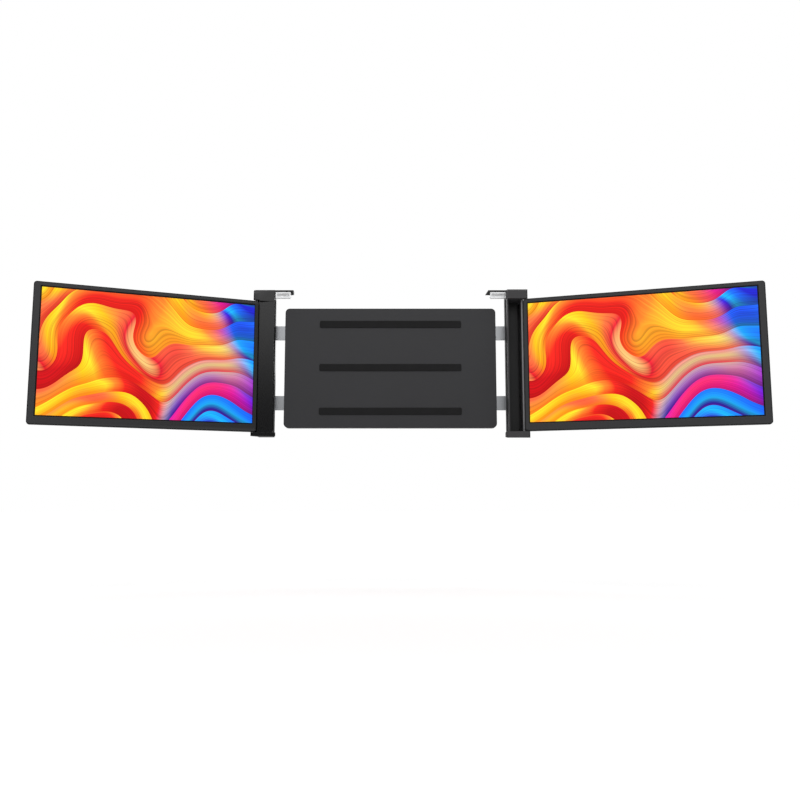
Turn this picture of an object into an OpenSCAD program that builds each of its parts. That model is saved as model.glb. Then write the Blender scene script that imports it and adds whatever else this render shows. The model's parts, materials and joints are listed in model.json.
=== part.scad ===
// Laptop screen extender: two hinged side displays on telescopic brackets that
// hang on the lid of a laptop. Millimetres, +Z up along the lid, -Y towards the
// person, origin in the middle of the face that rests on the back of the lid.
// Each screen is drawn in its own frame: X from its inner edge outwards, Y from
// its display face backwards, Z up. Brackets are drawn on the +X side.

/* [Screens] */
// Height of both screens
screen_h = 184.4; // [182:0.2:188]
// Thickness of both screens
screen_t = 9; // [8.8:0.1:10.4]
// Width of the picture on the left screen
left_view_w = 274.2; // [240:0.2:300]
// Width of the picture on the right screen
right_view_w = 294.5; // [240:0.5:310]
// Height of the picture
view_h = 165.6; // [150:0.2:168]
// Frame height under the picture
chin_h = 12; // [10:0.5:14]
// Frame width at the outer side
side_w = 10; // [9.5:0.5:14]
// Radius of the screen corners
corner_r = 4; // [2:0.5:7]

/* [Posture] */
// Left screen turned towards the person
left_angle = 21.5; // [0:0.5:40]
// Right screen turned towards the person
right_angle = 17.9; // [0:0.5:40]

/* [Lid] */
// Width of the lid that the brackets hold
lid_w = 324.4; // [318:0.2:336]
// Room for the thickness of the lid
lid_t = 6.4; // [5:0.2:7.2]

/* [Brackets] */
// Width of each bracket
bracket_w = 21.8; // [21:0.2:26]
// How far each clip reaches over the lid
clip_reach = 21.5; // [18:0.5:30]
// Radius of the hinge pins
pin_r = 1; // [0.8:0.05:1.2]

/* [Support] */
// Width of the plate behind the lid
plate_w = 298; // [270:1:300]
// Height of the plate behind the lid
plate_h = 170; // [160:1:176]
// Width of the foldout stand
stand_w = 120; // [60:2:130]

/* [Hidden] */
$fn = 48;
eps = 0.01;
top = screen_h / 2;
lead = 5.5;
left_w = lead + left_view_w + side_w;
right_w = lead + right_view_w + side_w;
view_z = chin_h - top;
rear = 13;
pad_t = 0.8;
in_x = lid_w / 2 + pad_t;
out_x = in_x + bracket_w;
pin_s = 2.6;
pin_t = 2.4;
pivot_x = out_x + pin_s + 0.6;
left_y = -12.9;
right_y = -24.7;
left_ear = [2.4, 1.9];
right_ear = [3.1, 0];
left_block_y = -10.4;
right_block_y = right_y - right_ear[0];
swing = 7.6;
cap_z = top + 0.5;
cap_top = cap_z + 16.5;
left_foot = -cap_z - 5.3;
right_foot = -cap_z - 8.9;
post_x = in_x + 10.4;
post_z = [-55, 0, 55];
arm_z = 50;
arm_h = 20;
gap = 0.4;
clip_front = -9;
clip_t = 2.8;
clip_travel = 14;
hook_drop = 7.4;
tail_x = 6;
tail_y = 5.2;
left_jaw_end = -0.9;
right_jaw_end = 1.9;
jaw_drop = 12.1;
lip_r = 1.7;
wall = 1.4;
flange_w = 5.7;
port_s = 8.4;
button_z = [20, 34, 48];
usb_z = [-30, -44];
hdmi_z = -60;
stand_z = 33;
stand_y = 11.3;

// Box between two corners
module box(x0, x1, y0, y1, z0, z1) {
    translate([x0, y0, z0]) cube([x1 - x0, y1 - y0, z1 - z0]);
}

// Rectangle between two corners with rounded corners, in the X-Z plane
module area(x0, x1, z0, z1, r = 0) {
    if (r > 0) {
        hull() {
            for (x = [x0 + r, x1 - r], z = [z0 + r, z1 - r]) {
                translate([x, z]) circle(r = r, $fn = 24);
            }
        }
    } else {
        translate([x0, z0]) square([x1 - x0, z1 - z0]);
    }
}

// A flat outline in X-Z made solid between two depths
module sheet(y0, y1) {
    translate([0, y1, 0]) rotate([90, 0, 0]) linear_extrude(height = y1 - y0) children();
}

// Cylinder along Y between two depths
module bar_y(x, z, r, y0, y1) {
    translate([x, y1, z]) rotate([90, 0, 0]) cylinder(r = r, h = y1 - y0);
}

module on_left() {
    mirror([1, 0, 0]) children();
}

module on_left_screen() {
    mirror([1, 0, 0]) translate([pivot_x, left_y, 0]) rotate([0, 0, -left_angle])
        translate([-pin_s, -pin_t, 0]) children();
}

module on_right_screen() {
    translate([pivot_x, right_y, 0]) rotate([0, 0, -right_angle])
        translate([-pin_s, -pin_t, 0]) children();
}

// ---- support plate behind the lid ----

module support_posts(r, y0, y1) {
    for (x = [-135, -78, 78, 135], z = [-plate_h / 2 + 8, plate_h / 2 - 8]) {
        bar_y(x, z, r, y0, y1);
    }
}

module support_front() {
    w = plate_w / 2;
    h = plate_h / 2;
    color([0.16, 0.16, 0.17]) difference() {
        union() {
            difference() {
                sheet(1, 8) area(-w, w, -h, h, 6);
                sheet(2.6, 9) area(-w + 1.6, w - 1.6, -h + 1.6, h - 1.6, 4.4);
            }
            support_posts(3, 2.6, 8);
        }
        support_posts(1.2, 3.2, 9);
        for (z = [-arm_z, arm_z]) {
            box(-w - 1, -w + 2, 3.6, 7, z - arm_h / 2 - 0.4, z + arm_h / 2 + 0.4);
            box(w - 2, w + 1, 3.6, 7, z - arm_h / 2 - 0.4, z + arm_h / 2 + 0.4);
        }
    }
}

module support_rear() {
    w = plate_w / 2;
    h = plate_h / 2;
    s = stand_w / 2 + 0.5;
    color([0.14, 0.14, 0.15]) difference() {
        sheet(8, rear) area(-w, w, -h, h, 6);
        difference() {
            sheet(7, 11.2) area(-w + 1.6, w - 1.6, -h + 1.6, h - 1.6, 4.4);
            box(-s - 4, s + 4, 6, rear, -85, stand_z + 6);
            support_posts(4, 6, rear);
        }
        box(-s, s, 9.3, rear + 1, -76, stand_z + 2.1);
        bar_y(0, -76, 7, 10.4, rear + 1);
        translate([-s - 3, stand_y, stand_z]) rotate([0, 90, 0]) cylinder(r = 0.8, h = 2 * s + 6);
        support_posts(1.35, 7, rear + 1);
        support_posts(2.8, 11.8, rear + 1);
    }
}

module support_screws() {
    color([0.6, 0.6, 0.62]) {
        support_posts(1.2, 3.2, 11.8);
        support_posts(2.5, 11.8, 12.8);
    }
}

module lid_pads() {
    color([0.09, 0.09, 0.1]) for (z = [-62, 0, 62]) {
        sheet(0, 1) area(-100, 100, z - 5, z + 5, 2);
    }
}

module guide(z) {
    w = plate_w / 2 - 2;
    color([0.7, 0.71, 0.73]) difference() {
        box(-w, w, 2.6, 8, z - arm_h / 2 - 2.5, z + arm_h / 2 + 2.5);
        box(-w - 1, w + 1, 3.7, 6.9, z - arm_h / 2 - 0.35, z + arm_h / 2 + 0.35);
    }
}

module kickstand() {
    s = stand_w / 2;
    color([0.17, 0.17, 0.18]) difference() {
        union() {
            difference() {
                sheet(9.8, 12.4) area(-s, s, -72, stand_z + 3, 3);
                box(-s - 1, s + 1, 9, rear + 1, stand_z, stand_z + 9);
            }
            translate([-s, stand_y, stand_z]) rotate([0, 90, 0]) cylinder(r = 1.7, h = 2 * s);
        }
        translate([-s - 1, stand_y, stand_z]) rotate([0, 90, 0]) cylinder(r = 0.84, h = 2 * s + 2);
        sheet(11.9, rear) area(-s + 8, s - 8, -64, stand_z - 12, 4);
    }
}

module kickstand_pin() {
    color([0.6, 0.6, 0.62]) translate([-stand_w / 2 - 3, stand_y, stand_z]) rotate([0, 90, 0])
        cylinder(r = 0.8, h = stand_w + 6);
}

module kickstand_pad() {
    color([0.07, 0.07, 0.07]) sheet(10, 12.3) area(-50, 50, -74.5, -72, 1);
}

// ---- brackets ----

module slide() {
    color([0.75, 0.76, 0.78]) difference() {
        union() {
            for (z = [-arm_z, arm_z]) {
                box(82, in_x + 3.5, 4, 6.6, z - arm_h / 2, z + arm_h / 2);
            }
            box(in_x + 3, in_x + 17, 4, 6.6, -68, 68);
        }
        for (z = post_z) {
            bar_y(post_x, z, 1.3, 3, 8);
        }
    }
}

// Plan of a bracket end: its block, and the ear that runs forward to the hinge pin,
// given by its radius and how far it goes on beyond the pin
module plan(pivot_y, ear, block_y, ear_run) {
    translate([in_x, block_y]) square([bracket_w, rear - block_y]);
    hull() {
        for (x = [pivot_x, pivot_x + ear[1]]) {
            translate([x, pivot_y]) circle(r = ear[0]);
        }
        translate([out_x - ear_run, block_y]) square([ear_run - 1, 12]);
    }
}

// Plan of the lip under the lid's front edge
module lip_plan(block_y, reach) {
    hull() {
        translate([in_x + 1, block_y]) square([1, -7 - block_y]);
        for (y = [block_y + lip_r, -7 - lip_r]) {
            translate([in_x - reach + lip_r, y]) circle(r = lip_r);
        }
    }
}

// Bracket body: a box with a rear flange that closes the view past the screen's
// inner edge, a cap and a foot with the ears, and the channel of the clip arm.
// The cap's front edge lies brow under its top, the upper ear is lifted off the
// screen, and the underside of the foot rises towards the rear.
module frame(pivot_y, ear, block_y, ear_run, brow, lift, front_y, foot, rise, reach, jaw_end, hollow) {
    front = pivot_y - ear[0];
    color([0.17, 0.17, 0.18]) difference() {
        union() {
            box(in_x, out_x, front_y, rear, -cap_z, cap_z);
            box(out_x - 1, out_x + flange_w, pivot_y + swing, rear, -cap_z, cap_z);
            intersection() {
                translate([0, 0, cap_z]) linear_extrude(height = cap_top - cap_z)
                    plan(pivot_y, ear, block_y, ear_run);
                translate([in_x - 1, 0, 0]) rotate([90, 0, 90]) linear_extrude(height = 40)
                    polygon([[front, cap_z - 1], [front, cap_top - brow], [front + 1.6, cap_top - brow + 2],
                        [-12, cap_top - 1.2], [-10, cap_top], [rear - 1, cap_top],
                        [rear, cap_top - 1], [rear, cap_z - 1]]);
            }
            translate([0, 0, foot]) linear_extrude(height = -cap_z - foot) {
                plan(pivot_y, ear, block_y, ear_run);
                lip_plan(block_y, reach);
            }
        }
        difference() {
            box(in_x + 2, out_x + flange_w - 2, -1.5, 11, -cap_z + 2, cap_z - 2);
            for (z = post_z) {
                bar_y(post_x, z, 4, 6.6, 12);
            }
        }
        box(hollow[0], hollow[1], front - 1, -1.4, -hollow[2], hollow[2]);
        if (lift > 0) {
            box(out_x - 0.9, out_x + 20, front - 1, pivot_y + swing, cap_z - eps, cap_z + lift);
        }
        for (z = [-arm_z, arm_z]) {
            box(in_x - 1, in_x + 3, 3.9, 6.7, z - arm_h / 2 - 0.1, z + arm_h / 2 + 0.1);
        }
        for (z = post_z) {
            bar_y(post_x, z, 1.3, 6, rear + 1);
            bar_y(post_x, z, 2.8, 11.7, rear + 1);
        }
        box(in_x - 1, in_x + jaw_end + clip_travel + gap, clip_front - gap, 0.5,
            cap_top - jaw_drop - 0.5, cap_top + 1);
        box(in_x + 1.6, in_x + tail_x + clip_travel + gap, clip_front - gap, 0.5,
            cap_top - clip_t - gap, cap_top + 1);
        box(in_x + 1.6, in_x + tail_x + clip_travel + gap, clip_front - gap, tail_y + gap,
            cap_top - clip_t - gap, cap_top - 1);
        translate([pivot_x, pivot_y, cap_z - 1]) cylinder(r = pin_r, h = 9);
        translate([pivot_x, pivot_y, foot + 1]) cylinder(r = pin_r, h = 9);
        translate([in_x - 12, 0, 0]) rotate([90, 0, 90]) linear_extrude(height = 50)
            polygon([[front - 1, foot], [rear + 1, foot + rise], [rear + 1, foot - 1],
                [front - 1, foot - 1]]);
    }
}

// Front piece of a bracket with the posts that take its screws
module front_plate(x0, x1, y0, y1, z1) {
    color([0.19, 0.19, 0.2]) difference() {
        union() {
            sheet(y0, y1) area(x0, x1, -z1, z1);
            for (z = post_z) {
                bar_y(post_x, z, 3, y1 - eps, 4);
            }
        }
        for (z = post_z) {
            bar_y(post_x, z, 1.25, y1, 5);
        }
    }
}

module frame_screws() {
    color([0.6, 0.6, 0.62]) for (z = post_z) {
        bar_y(post_x, z, 1.2, 0, 11.7);
        bar_y(post_x, z, 2.5, 11.7, 12.8);
    }
}

module pins(pivot_y, foot) {
    color([0.65, 0.65, 0.67]) {
        translate([pivot_x, pivot_y, top - 12]) cylinder(r = pin_r, h = 20);
        translate([pivot_x, pivot_y, foot + 1]) cylinder(r = pin_r, h = 11 - top - foot);
    }
}

module side_pad() {
    color([0.08, 0.08, 0.09]) box(in_x - pad_t, in_x, -lid_t, -0.4, -90, 96);
}

// ---- top clips ----

// Flat arm with a hook at its tip and a tail that keeps it in its channel. The hook
// is wider or narrower at its foot than at the arm, and cut back underneath.
module clip_arm(hook_top, hook_low) {
    root = in_x - 0.9 - clip_reach;
    low = cap_top - clip_t;
    foot = cap_top - hook_drop;
    color([0.08, 0.08, 0.09]) {
        box(root, in_x + 2.2, clip_front, 0, low, cap_top);
        box(in_x + 2.2 - eps, in_x + tail_x, clip_front, tail_y, low, cap_top - 1.2);
        difference() {
            sheet(clip_front, 0) polygon([[root - hook_top, cap_top], [root + eps, cap_top],
                [root + eps, foot], [root - hook_low, foot]]);
            translate([root - 10, 0, 0]) rotate([90, 0, 90]) linear_extrude(height = 11)
                polygon([[clip_front, foot], [1, foot + 3], [1, foot - 1], [clip_front, foot - 1]]);
        }
    }
}

// Jaw under the arm: an angle over the lid's top edge, with a grip pocket in front
module clip_jaw(jaw_end) {
    x0 = in_x - 0.7 - clip_reach;
    x1 = in_x + jaw_end;
    low = cap_top - jaw_drop;
    color([0.8, 0.81, 0.82]) difference() {
        translate([x0, 0, 0]) rotate([90, 0, 90]) linear_extrude(height = x1 - x0)
            polygon([[clip_front, cap_top - clip_t], [clip_front, low + 0.3],
                [clip_front + 0.3, low], [-lid_t - 0.6, low], [-lid_t - 0.6, low + 3.3],
                [-0.1, low + 3.3], [-0.1, cap_top - clip_t]]);
        box(x0 + 2.2, x1 - 2.2, clip_front - 1, clip_front + 1.2, low + 3.4, low + 7);
    }
}

module clip_pad() {
    x0 = in_x + 0.3 - clip_reach;
    x1 = in_x - 3;
    color([0.1, 0.1, 0.1]) {
        box(x0, x1, -lid_t - 0.6, -lid_t, cap_top - jaw_drop + 0.3, cap_top - jaw_drop + 3.3);
        box(x0, x1, -lid_t - 0.6 + eps, -0.4, cap_top - jaw_drop + 2.7, cap_top - jaw_drop + 3.3);
    }
}

// ---- screens ----

function screw_at(w) = [[30, top - 3.6], [w / 2, top - 3.6], [w - 30, top - 3.6],
    [30, 4 - top], [w / 2, 4 - top], [w - 30, 4 - top]];

module pin_holes(r) {
    translate([pin_s, pin_t, top - 2]) cylinder(r = r, h = 4);
    translate([pin_s, pin_t, -top - 2]) cylinder(r = r, h = 4);
}

module bezel(w, vw) {
    color([0.27, 0.27, 0.28]) difference() {
        union() {
            difference() {
                sheet(0, 3.2) area(0, w, -top, top, corner_r);
                sheet(0.8, 4) area(0.5, w - wall, -top + 1.2, top - 1.2, 1);
            }
            for (p = screw_at(w)) {
                bar_y(p[0], p[1], 1.6, 0.8 - eps, 4.6);
            }
        }
        sheet(-1, 1) area(lead - 0.6, lead + vw + 1.3, view_z - 1.3, view_z + view_h + 1.3, 0.4);
        for (p = screw_at(w)) {
            bar_y(p[0], p[1], 0.8, 2, 6);
        }
        pin_holes(pin_r + 0.4);
    }
}

module display(w, vw) {
    color([0.75, 0.35, 0.5]) box(4.8, lead + vw + 1.6, 0.85, 2.05, view_z - 3.4, view_z + view_h + 1.4);
}

module backlight(w, vw) {
    color([0.72, 0.73, 0.75]) difference() {
        box(5, lead + vw + 1.2, 2.1, 4.6, view_z - 3, view_z + view_h + 1.2);
        box(40, lead + vw - 30, 4.3, 5, view_z + 12, view_z + view_h - 12);
    }
}

module board(w) {
    color([0.1, 0.3, 0.2]) {
        box(w - 42, w - port_s, 4.8, 5.6, -70, 56);
        for (z = button_z) {
            box(w - port_s - 2, w - 4.8, 5.6 - eps, 7, z - 2, z + 2);
        }
        box(w - 34, w - 20, 5.6 - eps, 6.8, -8, 6);
        box(w - 32, w - 24, 5.6 - eps, 6.6, -40, -32);
        box(w - 40, w - 36, 5.6 - eps, 6.8, -66, -40);
    }
}

module ribbon(w) {
    color([0.75, 0.5, 0.2]) {
        box(w - 120, w - 37, 6.8, 7, -62, -46);
        box(w - 120, w - 104, 6.8, 7, -86.4, -62 + eps);
        box(w - 120, w - 104, 1.4, 7, -86.6, -86.4 + eps);
        box(w - 120, w - 104, 1.2, 1.4 + eps, -86.6, view_z - 3.4);
    }
}

module shell(w) {
    color([0.15, 0.15, 0.16]) difference() {
        union() {
            difference() {
                hull() {
                    sheet(3.2, screen_t - 1.6) area(0, w, -top, top, corner_r);
                    sheet(3.2, screen_t) area(1.6, w - 1.6, -top + 1.6, top - 1.6, corner_r - 1.2);
                }
                sheet(3, screen_t - wall) area(wall, w - wall, -top + wall, top - wall, 1);
            }
            box(0.5, 4.8, 4, screen_t - 1, -top + 1, top - 1);
            for (p = screw_at(w)) {
                bar_y(p[0], p[1], 2, 4.6, screen_t - 1);
            }
        }
        box(0.5, 4.9, 3, 4.1, -top + 1.2, top - 1.2);
        for (p = screw_at(w)) {
            bar_y(p[0], p[1], 0.9, 3, screen_t + 1);
            bar_y(p[0], p[1], 1.8, screen_t - 1, screen_t + 1);
        }
        pin_holes(pin_r + 0.4);
        for (z = button_z) {
            box(w - 3, w + 1, 4.3, 7.9, z - 4.8, z + 4.8);
        }
        for (z = usb_z) {
            box(w - 3, w + 1, 3.9, 7.4, z - 4.7, z + 4.7);
        }
        box(w - 3, w + 1, 3.9, 7.4, hdmi_z - 5.9, hdmi_z + 5.9);
        for (z = [60, 63, 66, 69, 72]) {
            box(w - 26, w - 14, screen_t - 3, screen_t + 1, z - 0.6, z + 0.6);
        }
    }
}

module hinge_bar() {
    color([0.4, 0.4, 0.42]) difference() {
        box(0.6, 4.6, 0.9, 4.1, -top + 1.3, top - 1.3);
        translate([pin_s, pin_t, top - 12.6]) cylinder(r = pin_r + 0.04, h = 14);
        translate([pin_s, pin_t, -top - 1]) cylinder(r = pin_r + 0.04, h = 13.6);
    }
}

// Socket shell with its tongue, opening at the outer edge of the screen
module socket(w, z, half) {
    difference() {
        box(w - port_s, w - 0.5, 4.1, 7.2, z - half, z + half);
        box(w - port_s + 1, w, 4.5, 6.8, z - half + 0.4, z + half - 0.4);
    }
    box(w - port_s + 0.5, w - 2, 5.4, 5.9, z - half + 1.2, z + half - 1.2);
}

module usb_ports(w) {
    color([0.7, 0.7, 0.72]) for (z = usb_z) {
        socket(w, z, 4.47);
    }
}

module hdmi_port(w) {
    color([0.7, 0.7, 0.72]) socket(w, hdmi_z, 5.6);
}

module shell_screws(w) {
    color([0.3, 0.3, 0.32]) for (p = screw_at(w)) {
        bar_y(p[0], p[1], 0.8, 2.1, screen_t - 1);
        bar_y(p[0], p[1], 1.6, screen_t - 1, screen_t - 0.1);
    }
}

module button(w, z) {
    color([0.1, 0.1, 0.11]) {
        box(w - 2.6, w + 0.25, 4.7, 7.5, z - 4.4, z + 4.4);
        box(w - 3.6, w - 2.1, 4.5, 7.3, z - 5.6, z + 5.6);
    }
}

module left_slide() on_left() slide();
module left_frame() on_left()
    frame(left_y, left_ear, left_block_y, 16, 6.4, 1.2, -7.5, left_foot, 0.5, 4.2, left_jaw_end,
        [in_x + 2, out_x - 2, cap_z - 2]);
module left_cover() on_left() front_plate(in_x, out_x, -9.9, -7.5, cap_z);
module left_pins() on_left() pins(left_y, left_foot);
module left_side_pad() on_left() side_pad();
module left_frame_screws() on_left() frame_screws();
module left_clip_arm() on_left() clip_arm(3.6, 3.6);
module left_clip_jaw() on_left() clip_jaw(left_jaw_end);
module left_clip_pad() on_left() clip_pad();
module left_bezel() on_left_screen() bezel(left_w, left_view_w);
module left_display() on_left_screen() display(left_w, left_view_w);
module left_backlight() on_left_screen() backlight(left_w, left_view_w);
module left_board() on_left_screen() board(left_w);
module left_ribbon() on_left_screen() ribbon(left_w);
module left_shell() on_left_screen() shell(left_w);
module left_hinge_bar() on_left_screen() hinge_bar();
module left_usb_ports() on_left_screen() usb_ports(left_w);
module left_hdmi_port() on_left_screen() hdmi_port(left_w);
module left_shell_screws() on_left_screen() shell_screws(left_w);
module left_power_button() on_left_screen() button(left_w, button_z[2]);
module left_plus_button() on_left_screen() button(left_w, button_z[1]);
module left_minus_button() on_left_screen() button(left_w, button_z[0]);
module right_slide() slide();
module right_frame()
    frame(right_y, right_ear, right_block_y, 3, 5.4, 0, -20.6, right_foot, 5.5, 3.8, right_jaw_end,
        [in_x + 1.6, out_x - 2.4, cap_z]);
module right_liner() front_plate(in_x + 1.6, out_x - 5.2, -3.5, -1.5, cap_z);
module right_pins() pins(right_y, right_foot);
module right_side_pad() side_pad();
module right_frame_screws() frame_screws();
module right_clip_arm() clip_arm(2.3, 7);
module right_clip_jaw() clip_jaw(right_jaw_end);
module right_clip_pad() clip_pad();
module right_bezel() on_right_screen() bezel(right_w, right_view_w);
module right_display() on_right_screen() display(right_w, right_view_w);
module right_backlight() on_right_screen() backlight(right_w, right_view_w);
module right_board() on_right_screen() board(right_w);
module right_ribbon() on_right_screen() ribbon(right_w);
module right_shell() on_right_screen() shell(right_w);
module right_hinge_bar() on_right_screen() hinge_bar();
module right_usb_ports() on_right_screen() usb_ports(right_w);
module right_hdmi_port() on_right_screen() hdmi_port(right_w);
module right_shell_screws() on_right_screen() shell_screws(right_w);
module right_power_button() on_right_screen() button(right_w, button_z[2]);
module right_plus_button() on_right_screen() button(right_w, button_z[1]);
module right_minus_button() on_right_screen() button(right_w, button_z[0]);
module guide_top() guide(arm_z);
module guide_bottom() guide(-arm_z);

support_front();
support_rear();
lid_pads();
guide_top();
guide_bottom();
support_screws();
kickstand();
kickstand_pin();
kickstand_pad();
left_slide();
left_frame();
left_cover();
left_pins();
left_side_pad();
left_frame_screws();
left_clip_arm();
left_clip_jaw();
left_clip_pad();
left_bezel();
left_display();
left_backlight();
left_board();
left_ribbon();
left_shell();
left_hinge_bar();
left_usb_ports();
left_hdmi_port();
left_shell_screws();
left_power_button();
left_plus_button();
left_minus_button();
right_slide();
right_frame();
right_liner();
right_pins();
right_side_pad();
right_frame_screws();
right_clip_arm();
right_clip_jaw();
right_clip_pad();
right_bezel();
right_display();
right_backlight();
right_board();
right_ribbon();
right_shell();
right_hinge_bar();
right_usb_ports();
right_hdmi_port();
right_shell_screws();
right_power_button();
right_plus_button();
right_minus_button();
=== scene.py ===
"""Laptop screen extender: the outer looks of two hinged side displays on a lid bracket."""

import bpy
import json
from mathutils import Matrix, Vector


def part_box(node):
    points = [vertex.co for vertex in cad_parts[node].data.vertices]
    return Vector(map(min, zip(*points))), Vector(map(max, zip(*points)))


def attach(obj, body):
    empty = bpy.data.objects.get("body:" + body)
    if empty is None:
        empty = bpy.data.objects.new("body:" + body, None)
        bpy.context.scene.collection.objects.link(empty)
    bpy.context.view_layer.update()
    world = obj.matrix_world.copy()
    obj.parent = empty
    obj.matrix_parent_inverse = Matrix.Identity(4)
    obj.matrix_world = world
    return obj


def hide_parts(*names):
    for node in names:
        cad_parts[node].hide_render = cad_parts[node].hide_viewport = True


bl_info = {
    "name": "Laptop screen extender",
    "version": (1, 0, 0),
    "blender": (4, 5, 0),
    "location": "3D View > Sidebar > Screen extender",
    "description": "Makes the bezels, pictures, mouldings, metal parts and studio of a screen extender",
    "category": "Object",
}

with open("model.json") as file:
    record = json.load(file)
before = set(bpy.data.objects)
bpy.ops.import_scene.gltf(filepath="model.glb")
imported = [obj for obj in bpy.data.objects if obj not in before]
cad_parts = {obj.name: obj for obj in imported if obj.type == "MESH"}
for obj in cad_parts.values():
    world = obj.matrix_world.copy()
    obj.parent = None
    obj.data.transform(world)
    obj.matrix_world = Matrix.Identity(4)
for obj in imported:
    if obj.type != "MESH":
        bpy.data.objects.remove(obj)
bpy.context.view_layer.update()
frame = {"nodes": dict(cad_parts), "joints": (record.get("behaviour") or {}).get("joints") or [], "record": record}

import json
import math

import bmesh
import bpy
import numpy as np
from bpy.props import FloatProperty, FloatVectorProperty, PointerProperty
from mathutils import Vector

MM = 0.001

# Angle from which two faces meet in a sharp edge, and distance within which the
# points of a copied solid are one point
SHARP = math.radians(35)
NEAR = 0.025 * MM

# A screen, in millimetres: half its height, its thickness, the radius of its corners,
# the frame's widths at the hinge, the outer side and the foot, and the frame's depth
HALF_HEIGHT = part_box("left_bezel")[1][2] / MM
THICKNESS = 9.0
CORNER = 4.0
LEAD, SIDE, CHIN = 5.5, 10.0, 12.0
FRAME_DEPTH = 3.2

# Its picture: height, place of the foot, and the panel's own black margin round it
PICTURE_HEIGHT = 165.6
PICTURE_FOOT = CHIN - HALF_HEIGHT
MARGIN = 1.6

# Its hinge pin: outwards from the inner edge, and backwards from the face
PIN = (2.6, 2.4)


def screen_facts(name, side, picture, gap):
    """Places of one screen: its pivot and turn are those of its hinge. The picture
    starts a gap beyond the frame at the hinge."""
    hinge = next(joint for joint in frame["joints"] if joint["name"] == name + "_screen_hinge")
    return {"side": side, "picture": (LEAD + gap, LEAD + picture), "width": LEAD + picture + SIDE,
            "angle": math.radians(-hinge["range_deg"][0]),
            "pivot": (abs(hinge["pos_m"][0]) / MM, hinge["pos_m"][1] / MM)}


SCREENS = {"left": screen_facts("left", side=-1, picture=274.2, gap=0.0),
           "right": screen_facts("right", side=1, picture=294.5, gap=0.7)}


def linear(code):
    """An sRGB colour in hex, turned into the linear numbers that shaders use."""
    parts = [int(code[i:i + 2], 16) / 255 for i in (1, 3, 5)]
    return tuple(p / 12.92 if p <= 0.04045 else ((p + 0.055) / 1.055) ** 2.4 for p in parts)


def colour(name, code, description):
    """Setting for one colour, with its default in hex."""
    return FloatVectorProperty(name=name, description=description, subtype="COLOR",
                               size=3, min=0, max=1, default=linear(code))


# ---------------------------------------------------------------- settings


class ExtenderScreens(bpy.types.PropertyGroup):
    """Bezels, glass and pictures"""
    edge_round: FloatProperty(name="Edge radius", description="Rounding of the bezel's outer edge",
                              default=0.4 * MM, min=0.1 * MM, max=1.2 * MM, unit="LENGTH")
    lip_round: FloatProperty(name="Lip radius", description="Rounding where the bezel drops to the glass",
                             default=0.3 * MM, min=0.05 * MM, max=0.6 * MM, unit="LENGTH")
    brightness: FloatProperty(name="Brightness", description="How strongly the displays glow",
                              default=1.0, min=0, max=3)
    bezel: colour("Bezel", "#3b3b3d", "Dark grey moulded frame round the glass")
    # This black is also laid at 0.65 over the left screen's strip beside the hinge, as painted shade
    rim_and_painted_shade: colour("Rim", "#0c0c0d", "Black outermost edge of the frame")
    shell: colour("Back shell", "#38383b", "Moulding behind the display")
    keys: colour("Buttons", "#161617", "Push buttons in the outer edge")
    sleeve: colour("Sockets", "#b4b4b6", "Nickel plated sleeves of the sockets")
    tongue: colour("Tongues", "#101011", "Nylon tongues in the sockets")


class ExtenderBrackets(bpy.types.PropertyGroup):
    """Brackets and the plate behind the lid"""
    edge_round: FloatProperty(name="Edge radius", description="Rounding of the moulded edges",
                              default=0.14 * MM, min=0.05 * MM, max=0.2 * MM, unit="LENGTH")
    gloss: colour("Glossy black", "#111113", "Left bracket and its cover")
    body: colour("Grey", "#4b4a4c", "Right bracket")
    floor: colour("Tray floor", "#202021", "Floor of the right bracket's tray")
    # The strip's light grey is a painted highlight: it stands for light falling on the front edge of the tray's
    # wall
    strip: colour("Strip", "#a6a6a8", "Light strip beside the right hinge")
    plate: colour("Plate", "#38383b", "Plate behind the lid")
    stand: colour("Stand", "#2b2b2e", "Fold-out stand")
    rubber: colour("Rubber", "#19191a", "Silicone pads")


class ExtenderMetal(bpy.types.PropertyGroup):
    """Hooks, slides, pins and screws"""
    jaw: colour("Jaw", "#f3f4f5", "Anodised aluminium jaw")
    grip: colour("Grip", "#f6f7f8", "Ribbed strip in the pocket of the jaw")
    arm: colour("Arm", "#0c0c0e", "Powder coated steel arm")
    pad: colour("Jaw pads", "#161617", "Silicone pads in the jaws")
    slide: colour("Slide", "#b9bbbe", "Mill finished aluminium slide")
    steel: colour("Steel", "#a9a9ab", "Zinc plated steel")
    dark: colour("Dark steel", "#2c2c2e", "Blackened pins and hinge bars")
    screws: colour("Shell screws", "#4a4a4c", "Blackened screws of the back shells")


class ExtenderStage(bpy.types.PropertyGroup):
    """Camera, light and floor"""
    drop: FloatProperty(name="Floor drop", description="How far the floor lies under the frame's origin",
                        default=0.30, min=0.2, max=1, unit="LENGTH")
    lens: FloatProperty(name="Lens", description="Focal length for a 36 mm sensor",
                        default=37.57, min=20, max=80)
    tilt: FloatProperty(name="Camera tilt", description="How far the camera looks up",
                        default=math.radians(7.49), min=-0.5, max=0.5, subtype="ANGLE")
    key: FloatProperty(name="Key light", description="Power of each large soft light in watts",
                       default=20.0, min=0, max=200)
    room: FloatProperty(name="Room light", description="Brightness of the white room in reflections",
                        default=0.5, min=0, max=2)
    floor: colour("Floor", "#f4f4f4", "Pale floor")


# ---------------------------------------------------------------- shapes


def on_screen(name, points):
    """Local points of a screen, in millimetres, moved to where the screen stands.
    The first number runs outwards from the hinge edge, the second backwards from the
    face and the third up. They are turned about the pin, and mirrored on the left."""
    screen = SCREENS[name]
    px, py = screen["pivot"]
    s = points[..., 0] - PIN[0]
    t = points[..., 1] - PIN[1]
    x = px + s * math.cos(screen["angle"]) + t * math.sin(screen["angle"])
    y = py - s * math.sin(screen["angle"]) + t * math.cos(screen["angle"])
    return np.stack([screen["side"] * x, y, points[..., 2]], -1) * MM


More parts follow.
